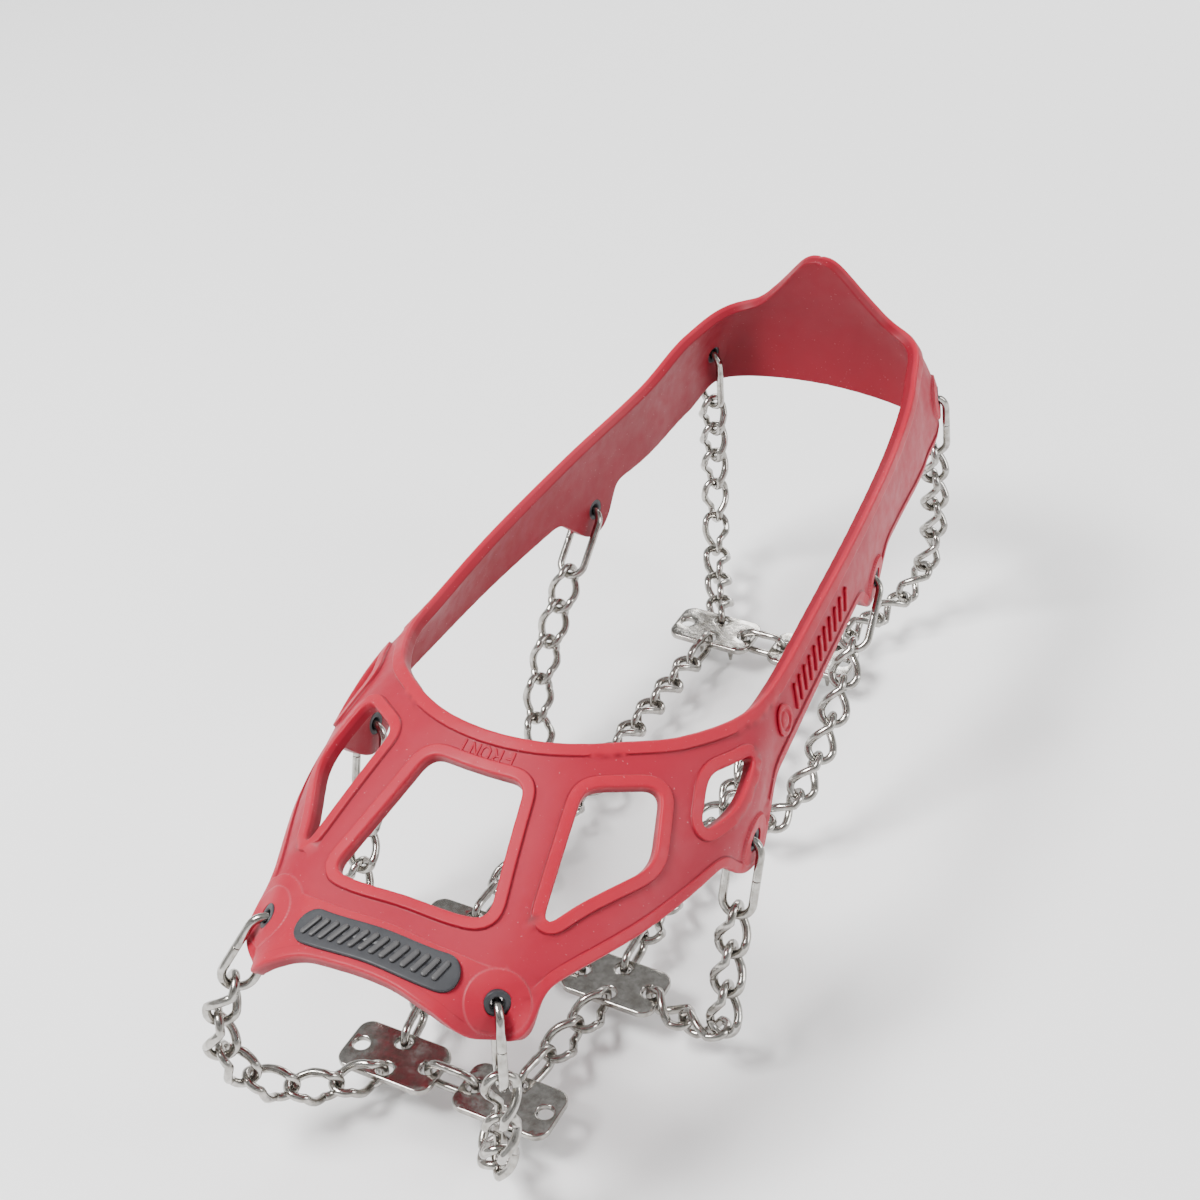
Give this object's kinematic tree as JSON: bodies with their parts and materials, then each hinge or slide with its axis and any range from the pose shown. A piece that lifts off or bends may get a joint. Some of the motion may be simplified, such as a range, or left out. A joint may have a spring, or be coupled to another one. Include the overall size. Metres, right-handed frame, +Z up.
{
  "type": "boot ice cleats",
  "caption": "Slip-on ice cleats for a walking boot: red elastomer harness with windowed toe cover, chain net and spike plates under the sole.",
  "frame": {"origin": "middle of the boot outsole, on the plane of its underside", "axes": "+Z up, -Y toward the toe, +X toward the outer side of the boot"},
  "size_m": [0.1275, 0.3023, 0.1339],
  "materials": {
    "elastomer": "red moulded elastomer, satin, slightly translucent",
    "grey_plastic": "dark grey moulded plastic, satin",
    "steel": "tumbled stainless steel, semi-bright"
  },
  "bodies": {
    "harness": {"harness": "elastomer", "front_badge": "grey_plastic", "eyelet_toe_right": "grey_plastic", "eyelet_ball_right": "grey_plastic", "eyelet_arch_right": "grey_plastic", "eyelet_rear_right": "grey_plastic", "eyelet_toe_left": "grey_plastic", "eyelet_ball_left": "grey_plastic", "eyelet_arch_left": "grey_plastic", "eyelet_rear_left": "grey_plastic"},
    "connecting_link_toe_right": {"connecting_link_toe_right": "steel"},
    "chain_link_toe_right_1": {"chain_link_toe_right_1": "steel"},
    "chain_link_toe_right_2": {"chain_link_toe_right_2": "steel"},
    "lower_chain_toe_right": {"lower_chain_toe_right": "steel"},
    "connecting_link_ball_right": {"connecting_link_ball_right": "steel"},
    "chain_link_ball_right_1": {"chain_link_ball_right_1": "steel"},
    "chain_link_ball_right_2": {"chain_link_ball_right_2": "steel"},
    "lower_chain_ball_right": {"lower_chain_ball_right": "steel"},
    "connecting_link_arch_right": {"connecting_link_arch_right": "steel"},
    "chain_link_arch_right_1": {"chain_link_arch_right_1": "steel"},
    "chain_link_arch_right_2": {"chain_link_arch_right_2": "steel"},
    "lower_chain_arch_right": {"lower_chain_arch_right": "steel"},
    "connecting_link_rear_right": {"connecting_link_rear_right": "steel"},
    "chain_link_rear_right_1": {"chain_link_rear_right_1": "steel"},
    "chain_link_rear_right_2": {"chain_link_rear_right_2": "steel"},
    "lower_chain_rear_right": {"lower_chain_rear_right": "steel"},
    "spike_plate_toe_right": {"spike_plate_toe_right": "steel"},
    "spike_plate_ball_right": {"spike_plate_ball_right": "steel"},
    "spike_plate_heel_right": {"spike_plate_heel_right": "steel"},
    "ring_right": {"ring_right": "steel"},
    "side_chain_front_right": {"side_chain_front_right": "steel"},
    "side_chain_middle_right": {"side_chain_middle_right": "steel"},
    "side_chain_rear_right": {"side_chain_rear_right": "steel"},
    "connecting_link_toe_left": {"connecting_link_toe_left": "steel"},
    "chain_link_toe_left_1": {"chain_link_toe_left_1": "steel"},
    "chain_link_toe_left_2": {"chain_link_toe_left_2": "steel"},
    "lower_chain_toe_left": {"lower_chain_toe_left": "steel"},
    "connecting_link_ball_left": {"connecting_link_ball_left": "steel"},
    "chain_link_ball_left_1": {"chain_link_ball_left_1": "steel"},
    "chain_link_ball_left_2": {"chain_link_ball_left_2": "steel"},
    "lower_chain_ball_left": {"lower_chain_ball_left": "steel"},
    "connecting_link_arch_left": {"connecting_link_arch_left": "steel"},
    "chain_link_arch_left_1": {"chain_link_arch_left_1": "steel"},
    "chain_link_arch_left_2": {"chain_link_arch_left_2": "steel"},
    "lower_chain_arch_left": {"lower_chain_arch_left": "steel"},
    "connecting_link_rear_left": {"connecting_link_rear_left": "steel"},
    "chain_link_rear_left_1": {"chain_link_rear_left_1": "steel"},
    "chain_link_rear_left_2": {"chain_link_rear_left_2": "steel"},
    "lower_chain_rear_left": {"lower_chain_rear_left": "steel"},
    "spike_plate_toe_left": {"spike_plate_toe_left": "steel"},
    "spike_plate_ball_left": {"spike_plate_ball_left": "steel"},
    "spike_plate_heel_left": {"spike_plate_heel_left": "steel"},
    "ring_left": {"ring_left": "steel"},
    "side_chain_front_left": {"side_chain_front_left": "steel"},
    "side_chain_middle_left": {"side_chain_middle_left": "steel"},
    "side_chain_rear_left": {"side_chain_rear_left": "steel"},
    "cross_chain_toe": {"cross_chain_toe": "steel"},
    "cross_chain_ball": {"cross_chain_ball": "steel"},
    "cross_chain_heel": {"cross_chain_heel": "steel"}
  },
  "joints": [
    {"name": "toe_right_sway", "type": "hinge", "parent": "harness", "child": "connecting_link_toe_right", "pos_m": [0.03069, -0.12764, 0.05891], "axis": [0.6338, -0.7146, 0.296], "range_deg": [-4, 4], "stiffness_Nm_per_rad": 0.02},
    {"name": "toe_right_pivot_1", "type": "hinge", "parent": "connecting_link_toe_right", "child": "chain_link_toe_right_1", "pos_m": [0.03351, -0.13348, 0.03878], "axis": [0.6338, -0.7146, 0.296], "range_deg": [-15.5, 15.5]},
    {"name": "toe_right_pivot_2", "type": "hinge", "parent": "chain_link_toe_right_1", "child": "chain_link_toe_right_2", "pos_m": [0.0342, -0.13598, 0.02737], "axis": [0.6338, -0.7146, 0.296], "range_deg": [-15.5, 15.5]},
    {"name": "toe_right_pivot_3", "type": "hinge", "parent": "chain_link_toe_right_2", "child": "lower_chain_toe_right", "pos_m": [0.03289, -0.13633, 0.01575], "axis": [0.6338, -0.7146, 0.296], "range_deg": [-4.2, 4.2]},
    {"name": "ball_right_sway", "type": "hinge", "parent": "harness", "child": "connecting_link_ball_right", "pos_m": [0.05815, -0.04418, 0.05085], "axis": [0.9993, 0.0316, -0.0198], "range_deg": [-4, 4], "stiffness_Nm_per_rad": 0.02},
    {"name": "ball_right_pivot_1", "type": "hinge", "parent": "connecting_link_ball_right", "child": "chain_link_ball_right_1", "pos_m": [0.05798, -0.05124, 0.03091], "axis": [0.9993, 0.0316, -0.0198], "range_deg": [-15.7, 15.7]},
    {"name": "ball_right_pivot_2", "type": "hinge", "parent": "chain_link_ball_right_1", "child": "chain_link_ball_right_2", "pos_m": [0.05808, -0.05523, 0.01991], "axis": [0.9993, 0.0316, -0.0198], "range_deg": [-15.7, 15.7]},
    {"name": "ball_right_pivot_3", "type": "hinge", "parent": "chain_link_ball_right_2", "child": "lower_chain_ball_right", "pos_m": [0.0586, -0.05938, 0.00899], "axis": [0.9993, 0.0316, -0.0198], "range_deg": [-4.2, 4.2]},
    {"name": "arch_right_sway", "type": "hinge", "parent": "harness", "child": "connecting_link_arch_right", "pos_m": [0.04712, 0.0714, 0.05568], "axis": [0.9923, 0.1132, -0.051], "range_deg": [-4, 4], "stiffness_Nm_per_rad": 0.02},
    {"name": "arch_right_pivot_1", "type": "hinge", "parent": "connecting_link_arch_right", "child": "chain_link_arch_right_1", "pos_m": [0.04799, 0.05687, 0.04035], "axis": [0.9923, 0.1132, -0.051], "range_deg": [-15.7, 15.7]},
    {"name": "arch_right_pivot_2", "type": "hinge", "parent": "chain_link_arch_right_1", "child": "chain_link_arch_right_2", "pos_m": [0.0483, 0.04881, 0.03187], "axis": [0.9923, 0.1132, -0.051], "range_deg": [-15.7, 15.7]},
    {"name": "arch_right_pivot_3", "type": "hinge", "parent": "chain_link_arch_right_2", "child": "lower_chain_arch_right", "pos_m": [0.04815, 0.04073, 0.02341], "axis": [0.9923, 0.1132, -0.051], "range_deg": [-4.2, 4.2]},
    {"name": "rear_right_sway", "type": "hinge", "parent": "harness", "child": "connecting_link_rear_right", "pos_m": [0.03936, 0.14636, 0.07551], "axis": [0.932, 0.3544, 0.0762], "range_deg": [-4, 4], "stiffness_Nm_per_rad": 0.02},
    {"name": "rear_right_pivot_1", "type": "hinge", "parent": "connecting_link_rear_right", "child": "chain_link_rear_right_1", "pos_m": [0.04009, 0.14896, 0.05454], "axis": [0.932, 0.3544, 0.0762], "range_deg": [-15.7, 15.7]},
    {"name": "rear_right_pivot_2", "type": "hinge", "parent": "chain_link_rear_right_1", "child": "chain_link_rear_right_2", "pos_m": [0.04049, 0.15033, 0.04292], "axis": [0.932, 0.3544, 0.0762], "range_deg": [-15.7, 15.7]},
    {"name": "rear_right_pivot_3", "type": "hinge", "parent": "chain_link_rear_right_2", "child": "lower_chain_rear_right", "pos_m": [0.0408, 0.15139, 0.03128], "axis": [0.932, 0.3544, 0.0762], "range_deg": [-4.2, 4.2]},
    {"name": "plate_toe_right_rock", "type": "hinge", "parent": "lower_chain_toe_right", "child": "spike_plate_toe_right", "pos_m": [0.0178, -0.1073, -0.005], "axis": [1, 0, 0], "range_deg": [-4, 4]},
    {"name": "plate_ball_right_rock", "type": "hinge", "parent": "lower_chain_ball_right", "child": "spike_plate_ball_right", "pos_m": [0.0241, -0.058, -0.005], "axis": [1, 0, 0], "range_deg": [-4, 4]},
    {"name": "plate_heel_right_rock", "type": "hinge", "parent": "lower_chain_rear_right", "child": "spike_plate_heel_right", "pos_m": [0.0178, 0.10105, -0.005], "axis": [1, 0, 0], "range_deg": [-4, 4]},
    {"name": "ring_right_turn", "type": "hinge", "parent": "lower_chain_arch_right", "child": "ring_right", "pos_m": [0.022, 0.01527, -0.005], "axis": [0, 0, 1], "continuous": true},
    {"name": "side_chain_front_right_level", "type": "hinge", "parent": "spike_plate_toe_right", "child": "side_chain_front_right", "pos_m": [0.0178, -0.1023, -0.005], "axis": [1, 0, 0], "range_deg": [-4.2, 4.2]},
    {"name": "side_chain_middle_right_level", "type": "hinge", "parent": "spike_plate_ball_right", "child": "side_chain_middle_right", "pos_m": [0.0241, -0.053, -0.005], "axis": [1, 0, 0], "range_deg": [-4.2, 4.2]},
    {"name": "side_chain_rear_right_level", "type": "hinge", "parent": "spike_plate_heel_right", "child": "side_chain_rear_right", "pos_m": [0.0178, 0.09605, -0.005], "axis": [1, 0, 0], "range_deg": [-4.2, 4.2]},
    {"name": "toe_left_sway", "type": "hinge", "parent": "harness", "child": "connecting_link_toe_left", "pos_m": [-0.03349, -0.12658, 0.05848], "axis": [-0.6696, -0.4588, 0.5841], "range_deg": [-4, 4], "stiffness_Nm_per_rad": 0.02},
    {"name": "toe_left_pivot_1", "type": "hinge", "parent": "connecting_link_toe_left", "child": "chain_link_toe_left_1", "pos_m": [-0.04192, -0.13591, 0.04147], "axis": [-0.6696, -0.4588, 0.5841], "range_deg": [-15.2, 15.2]},
    {"name": "toe_left_pivot_2", "type": "hinge", "parent": "chain_link_toe_left_1", "child": "chain_link_toe_left_2", "pos_m": [-0.04539, -0.14022, 0.03116], "axis": [-0.6696, -0.4588, 0.5841], "range_deg": [-15.2, 15.2]},
    {"name": "toe_left_pivot_3", "type": "hinge", "parent": "chain_link_toe_left_2", "child": "lower_chain_toe_left", "pos_m": [-0.04536, -0.14165, 0.01955], "axis": [-0.6696, -0.4588, 0.5841], "range_deg": [-4.2, 4.2]},
    {"name": "ball_left_sway", "type": "hinge", "parent": "harness", "child": "connecting_link_ball_left", "pos_m": [-0.05787, -0.04413, 0.05087], "axis": [-0.9994, 0.0003, -0.0342], "range_deg": [-4, 4], "stiffness_Nm_per_rad": 0.02},
    {"name": "ball_left_pivot_1", "type": "hinge", "parent": "connecting_link_ball_left", "child": "chain_link_ball_left_1", "pos_m": [-0.05719, -0.05109, 0.03091], "axis": [-0.9994, 0.0003, -0.0342], "range_deg": [-15.7, 15.7]},
    {"name": "ball_left_pivot_2", "type": "hinge", "parent": "chain_link_ball_left_1", "child": "chain_link_ball_left_2", "pos_m": [-0.05705, -0.05502, 0.01989], "axis": [-0.9994, 0.0003, -0.0342], "range_deg": [-15.7, 15.7]},
    {"name": "ball_left_pivot_3", "type": "hinge", "parent": "chain_link_ball_left_2", "child": "lower_chain_ball_left", "pos_m": [-0.05749, -0.05913, 0.00894], "axis": [-0.9994, 0.0003, -0.0342], "range_deg": [-4.2, 4.2]},
    {"name": "arch_left_sway", "type": "hinge", "parent": "harness", "child": "connecting_link_arch_left", "pos_m": [-0.04712, 0.0714, 0.05568], "axis": [-0.9923, 0.1132, -0.051], "range_deg": [-4, 4], "stiffness_Nm_per_rad": 0.02},
    {"name": "arch_left_pivot_1", "type": "hinge", "parent": "connecting_link_arch_left", "child": "chain_link_arch_left_1", "pos_m": [-0.04799, 0.05687, 0.04035], "axis": [-0.9923, 0.1132, -0.051], "range_deg": [-15.7, 15.7]},
    {"name": "arch_left_pivot_2", "type": "hinge", "parent": "chain_link_arch_left_1", "child": "chain_link_arch_left_2", "pos_m": [-0.0483, 0.04881, 0.03187], "axis": [-0.9923, 0.1132, -0.051], "range_deg": [-15.7, 15.7]},
    {"name": "arch_left_pivot_3", "type": "hinge", "parent": "chain_link_arch_left_2", "child": "lower_chain_arch_left", "pos_m": [-0.04815, 0.04073, 0.02341], "axis": [-0.9923, 0.1132, -0.051], "range_deg": [-4.2, 4.2]},
    {"name": "rear_left_sway", "type": "hinge", "parent": "harness", "child": "connecting_link_rear_left", "pos_m": [-0.03936, 0.14636, 0.07551], "axis": [-0.932, 0.3544, 0.0762], "range_deg": [-4, 4], "stiffness_Nm_per_rad": 0.02},
    {"name": "rear_left_pivot_1", "type": "hinge", "parent": "connecting_link_rear_left", "child": "chain_link_rear_left_1", "pos_m": [-0.04009, 0.14896, 0.05454], "axis": [-0.932, 0.3544, 0.0762], "range_deg": [-15.7, 15.7]},
    {"name": "rear_left_pivot_2", "type": "hinge", "parent": "chain_link_rear_left_1", "child": "chain_link_rear_left_2", "pos_m": [-0.04049, 0.15033, 0.04292], "axis": [-0.932, 0.3544, 0.0762], "range_deg": [-15.7, 15.7]},
    {"name": "rear_left_pivot_3", "type": "hinge", "parent": "chain_link_rear_left_2", "child": "lower_chain_rear_left", "pos_m": [-0.0408, 0.15139, 0.03128], "axis": [-0.932, 0.3544, 0.0762], "range_deg": [-4.2, 4.2]},
    {"name": "plate_toe_left_rock", "type": "hinge", "parent": "lower_chain_toe_left", "child": "spike_plate_toe_left", "pos_m": [-0.0178, -0.1073, -0.005], "axis": [1, 0, 0], "range_deg": [-4, 4]},
    {"name": "plate_ball_left_rock", "type": "hinge", "parent": "lower_chain_ball_left", "child": "spike_plate_ball_left", "pos_m": [-0.0241, -0.058, -0.005], "axis": [1, 0, 0], "range_deg": [-4, 4]},
    {"name": "plate_heel_left_rock", "type": "hinge", "parent": "lower_chain_rear_left", "child": "spike_plate_heel_left", "pos_m": [-0.0178, 0.10105, -0.005], "axis": [1, 0, 0], "range_deg": [-4, 4]},
    {"name": "ring_left_turn", "type": "hinge", "parent": "lower_chain_arch_left", "child": "ring_left", "pos_m": [-0.022, 0.01527, -0.005], "axis": [0, 0, 1], "continuous": true},
    {"name": "side_chain_front_left_level", "type": "hinge", "parent": "spike_plate_toe_left", "child": "side_chain_front_left", "pos_m": [-0.0178, -0.1023, -0.005], "axis": [1, 0, 0], "range_deg": [-4.2, 4.2]},
    {"name": "side_chain_middle_left_level", "type": "hinge", "parent": "spike_plate_ball_left", "child": "side_chain_middle_left", "pos_m": [-0.0241, -0.053, -0.005], "axis": [1, 0, 0], "range_deg": [-4.2, 4.2]},
    {"name": "side_chain_rear_left_level", "type": "hinge", "parent": "spike_plate_heel_left", "child": "side_chain_rear_left", "pos_m": [-0.0178, 0.09605, -0.005], "axis": [1, 0, 0], "range_deg": [-4.2, 4.2]},
    {"name": "cross_chain_toe_swivel", "type": "hinge", "parent": "spike_plate_toe_left", "child": "cross_chain_toe", "pos_m": [-0.0073, -0.1073, -0.005], "axis": [1, 0, 0], "range_deg": [-8, 8]},
    {"name": "cross_chain_ball_swivel", "type": "hinge", "parent": "spike_plate_ball_left", "child": "cross_chain_ball", "pos_m": [-0.0136, -0.058, -0.005], "axis": [1, 0, 0], "range_deg": [-8, 8]},
    {"name": "cross_chain_heel_swivel", "type": "hinge", "parent": "spike_plate_heel_left", "child": "cross_chain_heel", "pos_m": [-0.0073, 0.10105, -0.005], "axis": [1, 0, 0], "range_deg": [-8, 8]}
  ],
  "couplings": [
    {"joint": "toe_right_pivot_1", "follows": "toe_right_sway", "ratio": -3.7603},
    {"joint": "toe_right_pivot_2", "follows": "toe_right_sway", "ratio": 3.7603},
    {"joint": "toe_right_pivot_3", "follows": "toe_right_sway", "ratio": -1},
    {"joint": "ball_right_pivot_1", "follows": "ball_right_sway", "ratio": -3.8065},
    {"joint": "ball_right_pivot_2", "follows": "ball_right_sway", "ratio": 3.8065},
    {"joint": "ball_right_pivot_3", "follows": "ball_right_sway", "ratio": -1},
    {"joint": "arch_right_pivot_1", "follows": "arch_right_sway", "ratio": -3.8066},
    {"joint": "arch_right_pivot_2", "follows": "arch_right_sway", "ratio": 3.8066},
    {"joint": "arch_right_pivot_3", "follows": "arch_right_sway", "ratio": -1},
    {"joint": "rear_right_pivot_1", "follows": "rear_right_sway", "ratio": -3.8073},
    {"joint": "rear_right_pivot_2", "follows": "rear_right_sway", "ratio": 3.8073},
    {"joint": "rear_right_pivot_3", "follows": "rear_right_sway", "ratio": -1},
    {"joint": "side_chain_front_right_level", "follows": "plate_toe_right_rock", "ratio": -1},
    {"joint": "side_chain_middle_right_level", "follows": "plate_ball_right_rock", "ratio": -1},
    {"joint": "side_chain_rear_right_level", "follows": "plate_heel_right_rock", "ratio": -1},
    {"joint": "toe_left_pivot_1", "follows": "toe_left_sway", "ratio": -3.688},
    {"joint": "toe_left_pivot_2", "follows": "toe_left_sway", "ratio": 3.688},
    {"joint": "toe_left_pivot_3", "follows": "toe_left_sway", "ratio": -1},
    {"joint": "ball_left_pivot_1", "follows": "ball_left_sway", "ratio": -3.8056},
    {"joint": "ball_left_pivot_2", "follows": "ball_left_sway", "ratio": 3.8056},
    {"joint": "ball_left_pivot_3", "follows": "ball_left_sway", "ratio": -1},
    {"joint": "arch_left_pivot_1", "follows": "arch_left_sway", "ratio": -3.8066},
    {"joint": "arch_left_pivot_2", "follows": "arch_left_sway", "ratio": 3.8066},
    {"joint": "arch_left_pivot_3", "follows": "arch_left_sway", "ratio": -1},
    {"joint": "rear_left_pivot_1", "follows": "rear_left_sway", "ratio": -3.8073},
    {"joint": "rear_left_pivot_2", "follows": "rear_left_sway", "ratio": 3.8073},
    {"joint": "rear_left_pivot_3", "follows": "rear_left_sway", "ratio": -1},
    {"joint": "side_chain_front_left_level", "follows": "plate_toe_left_rock", "ratio": -1},
    {"joint": "side_chain_middle_left_level", "follows": "plate_ball_left_rock", "ratio": -1},
    {"joint": "side_chain_rear_left_level", "follows": "plate_heel_left_rock", "ratio": -1}
  ]
}
